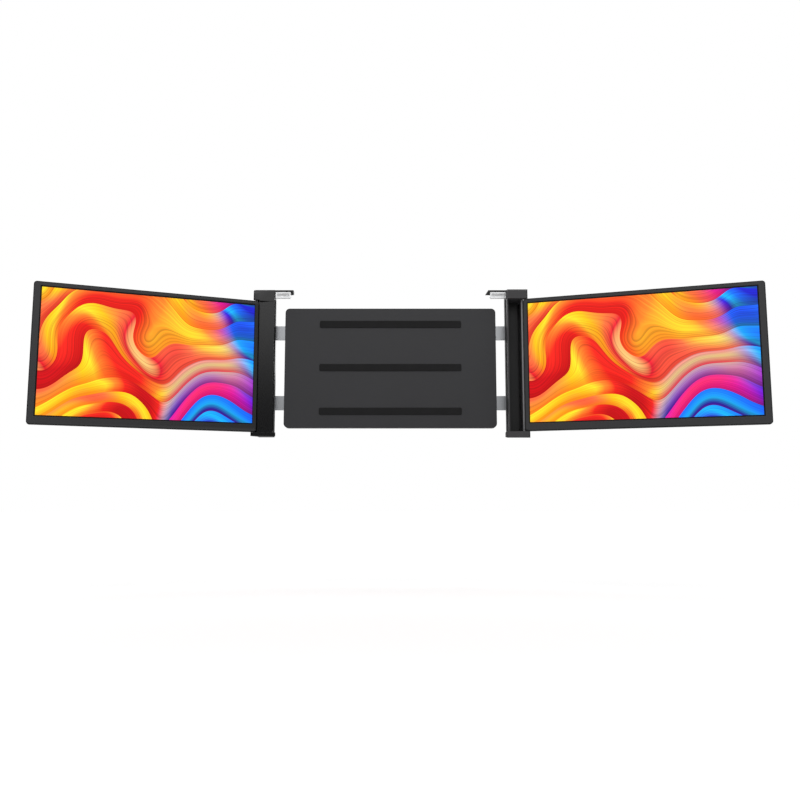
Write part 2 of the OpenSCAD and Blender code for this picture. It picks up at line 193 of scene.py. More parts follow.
def outline(x0, x1, z0, z1, radius, steps=7):
    """Rounded rectangle as one closed row of points: four quarter circles of the
    given radius, each of steps + 1 points, whose ends are joined by the straight sides."""
    a = np.linspace(0, math.pi / 2, steps + 1)[None, :] + np.arange(4)[:, None] * math.pi / 2
    cx = np.array([x1 - radius, x0 + radius, x0 + radius, x1 - radius])[:, None]
    cz = np.array([z1 - radius, z1 - radius, z0 + radius, z0 + radius])[:, None]
    return np.stack([cx + radius * np.cos(a), cz + radius * np.sin(a)], -1).reshape(-1, 2)


def loops_at(outlines, depths):
    """Stack of closed rows: each outline is put at its own depth behind the face."""
    return np.stack([np.stack([row[:, 0], np.full(len(row), depth), row[:, 1]], -1)
                     for row, depth in zip(outlines, depths)])


def loops_along(outlines, places):
    """Stack of closed rows: each outline of depth and height is put at its own place in width."""
    return np.stack([np.stack([np.full(len(row), x), row[:, 0], row[:, 1]], -1)
                     for row, x in zip(outlines, places)])


def quarter(radius, count=4):
    """Quarter round edge as pairs of inset and depth: inset is radius times one minus
    the cosine, depth is radius times one minus the sine, from the side to the face."""
    a = np.linspace(0, math.pi / 2, count + 1)
    return list(zip(radius * (1 - np.cos(a)), radius * (1 - np.sin(a))))


def screw(head, key, shank, seat, crown, tip, steps=48):
    """Socket screw along Y as a stack of rings about the origin: hexagonal hole, domed
    head and plain shank. Head, key and shank are half widths, and the head runs from
    its seat to its crown. A point of the hole is as far out as the key over the cosine
    of the angle to the middle of the nearest side. The hole is 0.6 of the head deep, and
    the dome falls by 0.14 and then 0.4 of it towards the side."""
    turn = np.linspace(0, 2 * math.pi, steps, endpoint=False)
    hole = key / np.cos((turn + math.pi / 6) % (math.pi / 3) - math.pi / 6)
    rise = crown - seat
    rings = ((hole, crown - 0.6 * rise), (hole, crown - 0.05 * rise), (0.72 * head, crown),
             (0.92 * head, crown - 0.14 * rise), (head, crown - 0.4 * rise), (head, seat),
             (shank, seat), (shank, tip))
    return np.stack([np.stack([r * np.cos(turn), np.full(steps, y), r * np.sin(turn)], -1)
                     for r, y in rings])


def copies(rows, places):
    """The same stack once for each place, a pair of width and height."""
    shift = np.array([[x, 0.0, z] for x, z in places])
    return rows[None] + shift[:, None, None, :]


def surface(name, rows, closed=False, caps=False, uv=None, values=None):
    """Mesh over a stack of closed rows of points, or over several stacks of one shape.
    Neighbouring rows are joined by four-sided faces; closed joins the last row to the
    first, caps fills both ends. Faces are turned outwards where the volume that they
    enclose, a sum of triple products of their corners, comes out negative."""
    stacks = rows if rows.ndim == 4 else rows[None]
    count, length = stacks.shape[1:3]
    index = np.arange(count * length).reshape(count, length)
    upper = np.roll(index, -1, axis=0) if closed else index[1:]
    lower = index if closed else index[:-1]
    faces = np.stack([lower, np.roll(lower, -1, 1), np.roll(upper, -1, 1), upper], -1).reshape(-1, 4)
    ends = [index[0][::-1], index[-1]] if caps else []
    points = stacks[0].reshape(-1, 3) - stacks[0].reshape(-1, 3).mean(0)
    a, b, c, d = points[faces].transpose(1, 0, 2)
    volume = (a * np.cross(b, c)).sum() + (a * np.cross(c, d)).sum()
    volume += sum((points[end[0]] * np.cross(points[end[1:-1]], points[end[2:]])).sum() for end in ends)
    if volume < 0:
        faces, ends = faces[:, ::-1], [end[::-1] for end in ends]
    starts = np.arange(len(stacks)) * count * length
    polygons = (faces[None] + starts[:, None, None]).reshape(-1, 4).tolist()
    polygons += [(end + start).tolist() for start in starts for end in ends]
    mesh = bpy.data.meshes.new(name)
    mesh.from_pydata(stacks.reshape(-1, 3).tolist(), [], polygons)
    mesh.update()
    corner = np.zeros(len(mesh.loops), np.int32)
    mesh.loops.foreach_get("vertex_index", corner)
    if uv is not None:
        layer = mesh.uv_layers.new(name="UVMap")
        layer.data.foreach_set("uv", uv.reshape(-1, 2)[corner].astype(np.float32).ravel())
    for key, value in (values or {}).items():
        attribute = mesh.attributes.new(key, "FLOAT", "POINT")
        attribute.data.foreach_set("value", value.astype(np.float32).ravel())
    mesh.polygons.foreach_set("use_smooth", [True] * len(mesh.polygons))
    mesh.set_sharp_from_angle(angle=SHARP)
    piece = bpy.data.objects.new(name, mesh)
    bpy.context.scene.collection.objects.link(piece)
    return piece


def softened(name, node, radius, crowded=False):
    """Copy of a solid whose sharp edges are rounded: points that nearly meet are merged,
    flat faces joined, and every sharp edge gets a small round of the given radius. On a
    crowded solid each round stops short of the edges beside it."""
    work = bmesh.new()
    work.from_mesh(frame["nodes"][node].data)
    bmesh.ops.remove_doubles(work, verts=work.verts, dist=NEAR)
    bmesh.ops.dissolve_limit(work, angle_limit=math.radians(0.5), verts=work.verts, edges=work.edges)
    mesh = bpy.data.meshes.new(name)
    work.to_mesh(mesh)
    work.free()
    mesh.polygons.foreach_set("use_smooth", [True] * len(mesh.polygons))
    piece = bpy.data.objects.new(name, mesh)
    bpy.context.scene.collection.objects.link(piece)
    edge = piece.modifiers.new("Rounded edges", "BEVEL")
    edge.width = radius
    edge.segments = 2
    edge.limit_method = "ANGLE"
    edge.angle_limit = SHARP
    edge.use_clamp_overlap = crowded
    piece.modifiers.new("Flat faces stay flat", "WEIGHTED_NORMAL")
    return piece


def fit(piece, body, slot, material, *nodes):
    """Puts a finished piece on its body, with its finish and the solids it stands for."""
    piece.data.materials.clear()
    piece.data.materials.append(material)
    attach(piece, body)
    if nodes:
        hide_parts(*nodes)
    return piece


BODY_OF = {node: body for body, nodes in frame["record"]["behaviour"]["bodies"].items() for node in nodes}
SLOT_OF = {part["node"]: part["material_slot"] for part in frame["record"]["subparts"]}


def dress(nodes, material, radius=None, crowded=False):
    """Rounded copies of solids in one finish, or the solids themselves where no radius is given."""
    for node in nodes:
        if radius is None:
            solid = frame["nodes"][node]
            solid.data.materials.clear()
            solid.data.materials.append(material)
        else:
            piece = softened(node + "_skin", node, radius, crowded)
            fit(piece, BODY_OF[node], SLOT_OF[node], material, node)


def both_sides(*parts):
    """Names of the nodes that both screens or brackets have."""
    return [side + "_" + part for side in SCREENS for part in parts]


# ---------------------------------------------------------------- finishes


def add(tree, kind, inputs=None, **settings):
    """Adds one shader node. Inputs are values or the sockets they are fed from."""
    node = tree.nodes.new(kind)
    for key, value in settings.items():
        setattr(node, key, value)
    feed(tree, node, inputs or {})
    return node


def feed(tree, node, inputs):
    """Sets a node's inputs, by name or by number."""
    for key, value in inputs.items():
        if isinstance(value, bpy.types.NodeSocket):
            tree.links.new(value, node.inputs[key])
        else:
            node.inputs[key].default_value = value


def new_finish(name):
    """Empty material with its surface shader and output."""
    material = bpy.data.materials.new(name)
    material.use_nodes = True
    tree = material.node_tree
    tree.nodes.clear()
    shader = add(tree, "ShaderNodeBsdfPrincipled")
    add(tree, "ShaderNodeOutputMaterial", {"Surface": shader.outputs[0]})
    return material, tree, shader


def tinted(tree, base, amount, scale):
    """Base colour that drifts lighter and darker by an amount, in clouds of which about
    as many as the scale fit in a metre. Gives it, the place and the clouds."""
    place = add(tree, "ShaderNodeTexCoord")
    cloud = add(tree, "ShaderNodeTexNoise", {"Vector": place.outputs["Object"], "Scale": scale,
                                             "Detail": 3.0})
    span = add(tree, "ShaderNodeMapRange", {"Value": cloud.outputs["Fac"], "From Min": 0.3, "From Max": 0.7,
                                            "To Min": 1 - amount, "To Max": 1 + amount})
    mixed = add(tree, "ShaderNodeVectorMath", {0: base, "Scale": span.outputs[0]}, operation="SCALE")
    return mixed.outputs[0], place.outputs["Object"], cloud.outputs["Fac"]


def moulded_abs(name, base, roughness, grain_mm, depth_mm):
    """ABS moulded in a spark eroded tool: an even fine grain that breaks up the
    reflections, and faint clouds where the skin is a little more matt."""
    material, tree, shader = new_finish(name)
    tint, place, cloud = tinted(tree, base, amount=0.06, scale=14)
    # Real grain is near 0.1 mm and would not show, so it is drawn coarser
    grain = add(tree, "ShaderNodeTexNoise", {"Vector": place, "Scale": 1 / (grain_mm * MM), "Detail": 2.0})
    bump = add(tree, "ShaderNodeBump", {"Height": grain.outputs["Fac"], "Strength": 0.35,
                                        "Distance": depth_mm * MM})
    matt = add(tree, "ShaderNodeMapRange", {"Value": cloud, "To Min": roughness - 0.04,
                                            "To Max": roughness + 0.05})
    feed(tree, shader, {"Base Color": tint, "Roughness": matt.outputs[0], "Normal": bump.outputs[0],
                        "IOR": 1.5})
    return material


def bezel_abs(name, base, rim_and_painted_shade):
    """ABS of the display frame: fine grain on a dark grey face that turns black towards the free outer edge, as
    far as the mesh says. Where the mesh says so, it is also partly blackened as painted shade, on the left
    screen's strip beside the hinge."""
    material, tree, shader = new_finish(name)
    tint, place, _ = tinted(tree, base, amount=0.05, scale=10)
    # Mixes towards black for the black outer edge, and as painted shade on the left strip beside the hinge
    edge = add(tree, "ShaderNodeAttribute", attribute_name="rim_and_painted_shade")
    mixed = add(tree, "ShaderNodeMix", {0: edge.outputs["Fac"], 6: tint, 7: (*rim_and_painted_shade, 1)}, data_type="RGBA")
    # Grain drawn coarser than it is, as on the other mouldings
    grain = add(tree, "ShaderNodeTexNoise", {"Vector": place, "Scale": 1 / (0.45 * MM), "Detail": 2.0})
    bump = add(tree, "ShaderNodeBump", {"Height": grain.outputs["Fac"], "Strength": 0.3,
                                        "Distance": 0.03 * MM})
    feed(tree, shader, {"Base Color": mixed.outputs[2], "Roughness": 0.55, "Normal": bump.outputs[0],
                        "IOR": 1.5})
    return material


def brushed_metal(name, base, roughness, line_mm, along, contrast=0.08, depth_mm=0.02):
    """Metal brushed in one direction: long fine scratches that spread the highlight.
    They are line_mm wide and 60 times as long, along the axis with the given number."""
    material, tree, shader = new_finish(name)
    stretch = [1 / (line_mm * MM)] * 3
    stretch[along] = 1 / (60 * line_mm * MM)
    place = add(tree, "ShaderNodeTexCoord")
    size = add(tree, "ShaderNodeMapping", {"Vector": place.outputs["Object"], "Scale": stretch})
    lines = add(tree, "ShaderNodeTexNoise", {"Vector": size.outputs[0], "Scale": 1.0, "Detail": 2.0})
    rough = add(tree, "ShaderNodeMapRange", {"Value": lines.outputs["Fac"], "To Min": roughness - contrast,
                                             "To Max": roughness + contrast})
    span = add(tree, "ShaderNodeMapRange", {"Value": lines.outputs["Fac"], "To Min": 1 - contrast,
                                            "To Max": 1 + contrast})
    tint = add(tree, "ShaderNodeVectorMath", {0: base, "Scale": span.outputs[0]}, operation="SCALE")
    bump = add(tree, "ShaderNodeBump", {"Height": lines.outputs["Fac"], "Strength": 0.3,
                                        "Distance": depth_mm * MM})
    feed(tree, shader, {"Base Color": tint.outputs[0], "Metallic": 1.0, "Roughness": rough.outputs[0],
                        "Normal": bump.outputs[0]})
    return material


def silicone(name, base):
    """Silicone rubber: dull, with a faint dusty mottling."""
    material, tree, shader = new_finish(name)
    tint, _, cloud = tinted(tree, base, amount=0.15, scale=60)
    bump = add(tree, "ShaderNodeBump", {"Height": cloud, "Strength": 0.3, "Distance": 0.05 * MM})
    feed(tree, shader, {"Base Color": tint, "Roughness": 0.75, "Normal": bump.outputs[0], "IOR": 1.42})
    return material


def circuit_laminate(name):
    """Glass fibre laminate under green solder mask, with lighter copper runs below it."""
    material, tree, shader = new_finish(name)
    mask, copper, seam = ((*linear(code), 1) for code in ("#0f4a2a", "#1b6b3c", "#0a3a20"))
    place = add(tree, "ShaderNodeTexCoord")
    runs = add(tree, "ShaderNodeTexBrick", {"Vector": place.outputs["Object"], "Scale": 260.0,
                                            "Color1": mask, "Color2": copper, "Mortar": seam,
                                            "Mortar Size": 0.03})
    feed(tree, shader, {"Base Color": runs.outputs["Color"], "Roughness": 0.3, "IOR": 1.55})
    return material


def amber_film(name):
    """Polyimide film of a flat cable: amber, glossy, with copper lines along it."""
    material, tree, shader = new_finish(name)
    place = add(tree, "ShaderNodeTexCoord")
    lines = add(tree, "ShaderNodeTexWave", {"Vector": place.outputs["Object"], "Scale": 300.0},
                bands_direction="Z")
    ramp = add(tree, "ShaderNodeValToRGB", {"Fac": lines.outputs["Fac"]})
    ramp.color_ramp.elements[0].color = (*linear("#7a4310"), 1)
    ramp.color_ramp.elements[1].color = (*linear("#c98530"), 1)
    feed(tree, shader, {"Base Color": ramp.outputs[0], "Roughness": 0.25, "IOR": 1.7})
    return material


# Colours of the ribbons, each with its place on a scale from 0 to 1
WARM = ((0.28, "#c4040f"), (0.38, "#ee2418"), (0.45, "#ff8a2a"), (0.50, "#ffe02a"),
        (0.56, "#ffc414"), (0.62, "#f7703c"), (0.68, "#de1230"), (0.76, "#ffe98a"))
COOL = ((0.28, "#1a1fc8"), (0.37, "#1470ff"), (0.44, "#16b4ff"), (0.49, "#2b1cd8"),
        (0.55, "#8010d0"), (0.61, "#dc12a4"), (0.68, "#fb304e"), (0.76, "#2a3bff"))


def ribbon_plane(tree, place):
    """The picture's plane, stretched to 16 by 9 and bent by soft noise. Gives its points,
    the way along the ribbons and the way across them."""
    flat = add(tree, "ShaderNodeMapping", {"Vector": place, "Scale": (1.778, 1, 1)})
    swirl = add(tree, "ShaderNodeTexNoise", {"Vector": flat.outputs[0], "Scale": 1.25, "Detail": 0.6,
                                             "Roughness": 0.4})
    bent = add(tree, "ShaderNodeVectorMath", {0: swirl.outputs["Color"], 1: (1.1, 0.95, 0),
                                              2: flat.outputs[0]}, operation="MULTIPLY_ADD")
    axes = add(tree, "ShaderNodeSeparateXYZ", {0: bent.outputs[0]})
    return bent.outputs[0], axes.outputs[0], axes.outputs[1]


def ribbon_height(tree, bent, across):
    """Height over the ribbons, which waves and is spread unevenly, so that its whole
    numbers cut it into folds of uneven width."""
    wave = add(tree, "ShaderNodeTexWave", {"Vector": bent, "Scale": 0.26, "Phase Offset": 0.7})
    level = add(tree, "ShaderNodeMath", {0: wave.outputs["Fac"], 1: 0.34, 2: across},
                operation="MULTIPLY_ADD")
    width = add(tree, "ShaderNodeTexNoise", {"Vector": bent, "Scale": 0.9, "Detail": 0.0})
    spread = add(tree, "ShaderNodeMath", {0: width.outputs["Fac"], 1: 2.6}, operation="MULTIPLY")
    height = add(tree, "ShaderNodeMath", {0: level.outputs[0], 1: 6.0, 2: spread.outputs[0]},
                 operation="MULTIPLY_ADD")
    return height.outputs[0]


def ribbon_colour(tree, bent, along, fold, rise):
    """Colours that drift along a ribbon and jump from one ribbon to the next. Cool ones fill a slanting field at
    one end."""
    run = add(tree, "ShaderNodeMath", {0: along, 1: 1.1, 2: fold}, operation="MULTIPLY_ADD")
    step = add(tree, "ShaderNodeMath", {0: fold, 1: 0.83}, operation="MULTIPLY")
    drift = add(tree, "ShaderNodeMath", {0: rise, 1: 0.32, 2: step.outputs[0]}, operation="MULTIPLY_ADD")
    spot = add(tree, "ShaderNodeCombineXYZ", {0: run.outputs[0], 1: drift.outputs[0]})
    key = add(tree, "ShaderNodeTexNoise", {"Vector": spot.outputs[0], "Scale": 1.0, "Detail": 0.4})
    ramps = []
    for stops in (WARM, COOL):
        ramp = add(tree, "ShaderNodeValToRGB", {"Fac": key.outputs["Fac"]})
        for _ in stops[2:]:
            ramp.color_ramp.elements.new(0.5)
        for element, (position, code) in zip(ramp.color_ramp.elements, stops):
            element.position = position
            element.color = (*linear(code), 1)
        ramps.append(ramp.outputs[0])
    region = add(tree, "ShaderNodeTexNoise", {"Vector": bent, "Scale": 0.8, "Detail": 0.0})
    lean = add(tree, "ShaderNodeMath", {0: region.outputs["Fac"], 1: 1.7, 2: along},
               operation="MULTIPLY_ADD")
    field = add(tree, "ShaderNodeMapRange", {"Value": lean.outputs[0], "From Min": 2.45, "From Max": 2.8},
                interpolation_type="SMOOTHSTEP")
    both = add(tree, "ShaderNodeMix", {0: field.outputs[0], 6: ramps[0], 7: ramps[1]}, data_type="RGBA")
    return both.outputs[2]


def ribbon_light(tree, plain, along, height, rise):
    """Each fold is deep in colour where it starts and bright at its crest. Gives that
    colour, and the sheen of the silky threads that run along it."""
    shade = add(tree, "ShaderNodeMapRange", {"Value": rise, "From Max": 0.75},
                interpolation_type="SMOOTHSTEP")
    tone = add(tree, "ShaderNodeMix", {0: shade.outputs[0], 6: (0.95, 0.45, 0.4, 1), 7: (1.1, 1.1, 1.1, 1)},
               data_type="RGBA")
    deep = add(tree, "ShaderNodeVectorMath", {0: plain, 1: tone.outputs[2]}, operation="MULTIPLY")
    fine = add(tree, "ShaderNodeMath", {0: height, 1: 22.0}, operation="MULTIPLY")
    line = add(tree, "ShaderNodeCombineXYZ", {0: along, 1: fine.outputs[0]})
    silk = add(tree, "ShaderNodeTexNoise", {"Vector": line.outputs[0], "Scale": 1.0, "Detail": 2.0})
    sheen = add(tree, "ShaderNodeMapRange", {"Value": silk.outputs["Fac"], "From Min": 0.3, "From Max": 0.7,
                                             "To Min": 0.7, "To Max": 1.35})
    return deep.outputs[0], sheen.outputs[0]


def inside_picture(tree, place):
    """One inside the picture, where the map runs from 0 to 1, and zero in the margin."""
    inner = add(tree, "ShaderNodeVectorMath", {0: place, 1: (0.5, 0.5, 0)}, operation="SUBTRACT")
    reach = add(tree, "ShaderNodeVectorMath", {0: inner.outputs[0]}, operation="ABSOLUTE")
    sides = add(tree, "ShaderNodeSeparateXYZ", {0: reach.outputs[0]})
    most = add(tree, "ShaderNodeMath", {0: sides.outputs[0], 1: sides.outputs[1]}, operation="MAXIMUM")
    inside = add(tree, "ShaderNodeMath", {0: most.outputs[0], 1: 0.5}, operation="LESS_THAN")
    return inside.outputs[0]


def lit_picture(name, strength):
    """Display panel: folded ribbons of colour that glow under a hard coated front,
    with the panel's own black margin round them."""
    material, tree, shader = new_finish(name)
    place = add(tree, "ShaderNodeUVMap", uv_map="UVMap").outputs[0]
    bent, along, across = ribbon_plane(tree, place)
    height = ribbon_height(tree, bent, across)
    fold = add(tree, "ShaderNodeMath", {0: height}, operation="FLOOR").outputs[0]
    rise = add(tree, "ShaderNodeMath", {0: height}, operation="FRACT").outputs[0]
    plain = ribbon_colour(tree, bent, along, fold, rise)
    deep, sheen = ribbon_light(tree, plain, along, height, rise)
    shown = add(tree, "ShaderNodeMath", {0: sheen, 1: inside_picture(tree, place)}, operation="MULTIPLY")
    glow = add(tree, "ShaderNodeVectorMath", {0: deep, "Scale": shown.outputs[0]}, operation="SCALE")
    feed(tree, shader, {"Base Color": (0.004, 0.004, 0.004, 1), "Roughness": 0.4, "IOR": 1.45,
                        "Specular IOR Level": 0.2, "Emission Color": glow.outputs[0],
                        "Emission Strength": strength})
    return material


# ---------------------------------------------------------------- makers


class EXTENDER_OT_bezels(bpy.types.Operator):
    """Frames round the glass: one closed profile carried round a rounded rectangle"""
    bl_idname = "extender.bezels"
    bl_label = "Bezels"

    def execute(self, context):
        look = context.scene.extender_screens
        finish = bezel_abs("Moulded ABS, display frame", look.bezel, look.rim_and_painted_shade)
        edge, lip = look.edge_round / MM, look.lip_round / MM
        # Side wall, depth of the step that holds the panel, and width of the black rim
        wall, step, black_rim = 1.2, 0.82, 1.0
        for name, screen in SCREENS.items():
            width = screen["width"]
            opening = (LEAD - 0.6, width - SIDE + MARGIN, PICTURE_FOOT - MARGIN,
                       PICTURE_FOOT + PICTURE_HEIGHT + MARGIN)

            def outer_row(inset):
                return outline(inset, width - inset, inset - HALF_HEIGHT,
                               HALF_HEIGHT - inset, CORNER - inset)

            def inner_row(inset):
                x0, x1, z0, z1 = opening
                return outline(x0 - inset, x1 + inset, z0 - inset, z1 + inset, 0.4 + inset)

            # Rows of the profile with their depth, and 1 where it is black: outer side,
            # round edge, face, round lip, inner side and back
            profile = [(outer_row(0), FRAME_DEPTH, 1)]
            profile += [(outer_row(inset), depth, 1) for inset, depth in quarter(edge)]
            profile += [(outer_row(black_rim), 0, 1), (outer_row(1.5 * black_rim), 0, 0)]
            profile += [(outer_row(2.5), 0, 0), ((outer_row(2.5) + inner_row(1)) / 2, 0, 0)]
            profile += [(inner_row(1), 0, 0)]
            profile += [(inner_row(inset), depth, 0) for inset, depth in quarter(lip)[::-1]]
            profile += [(inner_row(0), step, 0), (outer_row(wall), step, 0)]
            profile += [(outer_row(wall), FRAME_DEPTH, 0)]
            outlines, depths, black = zip(*profile)
            rows = loops_at(outlines, depths)
            # The side at the hinge has no black rim
            rim_and_painted_shade = np.array(black)[:, None] * (rows[..., 0] > 1.6)
            if name == "left":
                # Its strip beside the hinge is darker than the rest of the face: painted shade, a partial
                # blackening that stands for the shade falling on it
                strip = (rows[..., 0] < LEAD) & (abs(rows[..., 2]) < HALF_HEIGHT - 3.9)
                rim_and_painted_shade = np.where(strip, 0.65, rim_and_painted_shade)
            piece = surface(name + "_bezel_ring", on_screen(name, rows), closed=True, values={"rim_and_painted_shade": rim_and_painted_shade})
            fit(piece, name + "_screen", "bezel_plastic", finish, name + "_bezel")
        return {"FINISHED"}


class EXTENDER_OT_pictures(bpy.types.Operator):
    """Display panels: thin slabs with a softened front edge and a picture that glows"""
    bl_idname = "extender.pictures"
    bl_label = "Pictures"

    def execute(self, context):
        finish = lit_picture("Coated display panel, lit", context.scene.extender_screens.brightness)
        # The panel reaches under the frame: at the hinge, the far side and the top, and the foot
        x0, under, foot = 4.8, 0.5, 3.4
        front, back, softening = 0.85, 2.05, 0.15
        for name, screen in SCREENS.items():
            start, end = screen["picture"]
            x1 = end + MARGIN + under
            z0, z1 = PICTURE_FOOT - foot, PICTURE_FOOT + PICTURE_HEIGHT + MARGIN + under
            outlines = [outline(x0 + i, x1 - i, z0 + i, z1 - i, 0.3, 3) for i in (0.0, 0.0, softening)]
            rows = loops_at(outlines, [back, front + softening, front])
            u = (rows[..., 0] - start) / (end - start)
            v = (rows[..., 2] - PICTURE_FOOT) / PICTURE_HEIGHT
            uv = np.stack([1 - u if name == "left" else u, v], -1)
            piece = surface(name + "_picture_panel", on_screen(name, rows), caps=True, uv=uv)
            fit(piece, name + "_screen", "display_glass", finish, name + "_display")
        return {"FINISHED"}


class EXTENDER_OT_shells(bpy.types.Operator):
    """Back shells of the screens, their screws and their buttons"""
    bl_idname = "extender.shells"
    bl_label = "Back shells"

    def execute(self, context):
        look = context.scene.extender_screens
        shell = moulded_abs("Moulded ABS, back shell", look.shell,
                            roughness=0.5, grain_mm=0.5, depth_mm=0.05)
        keys = moulded_abs("Moulded ABS, buttons", look.keys, roughness=0.4, grain_mm=0.4, depth_mm=0.02)
        screws = context.scene.extender_metal.screws
        dark = brushed_metal("Blackened steel, shell screws", screws,
                             roughness=0.38, line_mm=0.2, along=2)
        dress(both_sides("shell"), shell, 0.25 * MM, crowded=True)
        dress(both_sides("power_button", "plus_button", "minus_button"), keys, 0.25 * MM, crowded=True)
        head = screw(head=1.6, key=0.7, shank=0.8, seat=THICKNESS - 1, crown=THICKNESS - 0.1, tip=2.1)
        inset, heights = 30, (HALF_HEIGHT - 3.6, 4 - HALF_HEIGHT)
        for name, screen in SCREENS.items():
            across = (inset, screen["width"] / 2, screen["width"] - inset)
            rows = copies(head, [(x, z) for z in heights for x in across])
            piece = surface(name + "_shell_screw_heads", on_screen(name, rows), caps=True)
            fit(piece, name + "_screen", SLOT_OF[name + "_shell_screws"], dark, name + "_shell_screws")
        return {"FINISHED"}


class EXTENDER_OT_sockets(bpy.types.Operator):
    """Sockets in the outer edges: thin sleeves with a tongue inside"""
    bl_idname = "extender.sockets"
    bl_label = "Sockets"

    def execute(self, context):
        look = context.scene.extender_screens
        sleeve = brushed_metal("Nickel plated steel, sockets", look.sleeve,
                               roughness=0.3, line_mm=0.2, along=2)
        insert = moulded_abs("Moulded nylon, socket tongues", look.tongue,
                             roughness=0.45, grain_mm=0.3, depth_mm=0.01)
        # Front and back of the sleeves, their sheet, length and bore, and half the tongue
        front, back = 4.1, 7.2
        middle = (front + back) / 2
        sheet, length, bore_depth, blade_half = 0.35, 7.9, 7.0, 0.3
        # One kind is round at both ends, the other has two slanted corners behind
        slanted = np.array([(front, -5.6), (front + 1.5, -5.6), (back, -4.3),
                            (back, 4.3), (front + 1.5, 5.6), (front, 5.6)])
        round_ended = outline(front, back, -4.47, 4.47, 1.5)
        kinds = (("_usb_ports", round_ended, (-30, -44)), ("_hdmi_port", slanted, (-60,)))
        for name, screen in SCREENS.items():
            mouth = screen["width"] - 0.5
            for node, shape, heights in kinds:
                half = shape[:, 1].max()
                shrink = (1 - 2 * sheet / (back - front), 1 - sheet / half)
                bore = (shape - (middle, 0)) * shrink + (middle, 0)
                tube = loops_along([shape, shape, bore, bore],
                                   [mouth - length, mouth, mouth, mouth - bore_depth])
                tongue = [outline(middle - blade_half + i, middle + blade_half - i, i + 1.2 - half,
                                  half - 1.2 - i, 0.25 - i, 3) for i in (0, 0, 0.12)]
                blade = loops_along(tongue, [mouth - bore_depth - 0.1, mouth - 1.5, mouth - 1.3])
                places = [(0, z) for z in heights]
                piece = surface(name + node + "_sleeves", on_screen(name, copies(tube, places)), caps=True)
                fit(piece, name + "_screen", SLOT_OF[name + node], sleeve, name + node)
                piece = surface(name + node + "_tongues", on_screen(name, copies(blade, places)), caps=True)
                fit(piece, name + "_screen", "button_plastic", insert)
        return {"FINISHED"}


class EXTENDER_OT_brackets(bpy.types.Operator):
    """Bracket bodies, front cover, tray floor and the light strip beside the hinge, whose light grey is a painted
    highlight
    """
    bl_idname = "extender.brackets"
    bl_label = "Brackets"

    def execute(self, context):
        look = context.scene.extender_brackets
        gloss = moulded_abs("Glossy black ABS, left bracket", look.gloss,
                            roughness=0.2, grain_mm=0.5, depth_mm=0.006)
        body = moulded_abs("Matt grey ABS, right bracket", look.body,
                           roughness=0.6, grain_mm=0.5, depth_mm=0.04)
        floor = moulded_abs("Matt black ABS, tray floor", look.floor,
                            roughness=0.6, grain_mm=0.5, depth_mm=0.03)
        # Light grey here is a painted highlight on the wall's front edge
        strip = moulded_abs("Satin grey ABS with painted highlight, light strip", look.strip,
                            roughness=0.4, grain_mm=0.5, depth_mm=0.02)
        rubber = silicone("Silicone, side pads", look.rubber)
        dress(["left_frame", "left_cover"], gloss, look.edge_round)
        dress(["right_frame"], body, look.edge_round)
        dress(["right_liner"], floor, look.edge_round)
        dress(both_sides("side_pad"), rubber, 0.2 * MM)
        # Slim crowned strip on the front edge of the tray's outer wall, in the middle of its thickness: an ellipse
        # that is drawn in over the last 0.4 mm of each end. Its light grey is a painted highlight that stands for
        # light falling on that edge
        bracket_side = -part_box("left_cover")[0][0] / MM
        wall, front, reach = 2.4, -20.62, HALF_HEIGHT - 0.3
        half = np.array([0.85, 1.15, 1.15, 0.85])[:, None]
        crown = np.array([0.15, 0.3, 0.3, 0.15])[:, None]
        turn = np.linspace(0, 2 * math.pi, 24, endpoint=False)
        across = bracket_side - wall / 2 + half * np.cos(turn)
        z = np.broadcast_to(np.array([-reach, 0.4 - reach, reach - 0.4, reach])[:, None], across.shape)
        rows = np.stack([across, front + crown * np.sin(turn), z], -1) * MM
        fit(surface("right_painted_highlight_strip", rows, caps=True), "right_bracket", "cover_plastic", strip)
        return {"FINISHED"}


class EXTENDER_OT_clips(bpy.types.Operator):
    """Hook arms, silver jaws with ribbed grips, and their pads"""
    bl_idname = "extender.clips"
    bl_label = "Clips"

    def execute(self, context):
        look = context.scene.extender_metal
        arm = moulded_abs("Powder coated steel, arm", look.arm,
                          roughness=0.5, grain_mm=0.6, depth_mm=0.04)
        jaw = brushed_metal("Anodised aluminium, jaw", look.jaw,
                            roughness=0.42, line_mm=0.25, along=0, contrast=0.03, depth_mm=0.005)
        grip = moulded_abs("Silver painted ABS, grip", look.grip,
                           roughness=0.5, grain_mm=0.4, depth_mm=0.02)
        rubber = silicone("Silicone, jaw pads", look.pad)
        dress(both_sides("clip_arm"), arm, 0.25 * MM)
        dress(both_sides("clip_jaw"), jaw, 0.2 * MM)
        dress(both_sides("clip_pad"), rubber, 0.15 * MM)
        # Grip in the pocket of the jaw, from the jaw's foot upwards: the front of its two
        # ribs stands out as a cosine of the height, and the back is flat
        foot, top, ribs, stand_out = 3.45, 6.95, 2, 0.2
        front, back, end_gap = 0.5, 1.15, 2.25
        rise = np.linspace(foot, top, 49)
        wave = stand_out * np.cos(2 * math.pi * ribs * (rise - foot) / (top - foot))
        section = np.concatenate([np.stack([front + wave, rise], -1), [(back, top), (back, foot)]])
        for name in SCREENS:
            low, high = (np.array(corner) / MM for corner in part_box(name + "_clip_jaw"))
            placed = section + low[1:]
            rows = loops_along([placed, placed], (low[0] + end_gap, high[0] - end_gap)) * MM
            piece = surface(name + "_jaw_grip", rows, caps=True)
            fit(piece, name + "_clip", "clip_silver", grip)
        return {"FINISHED"}


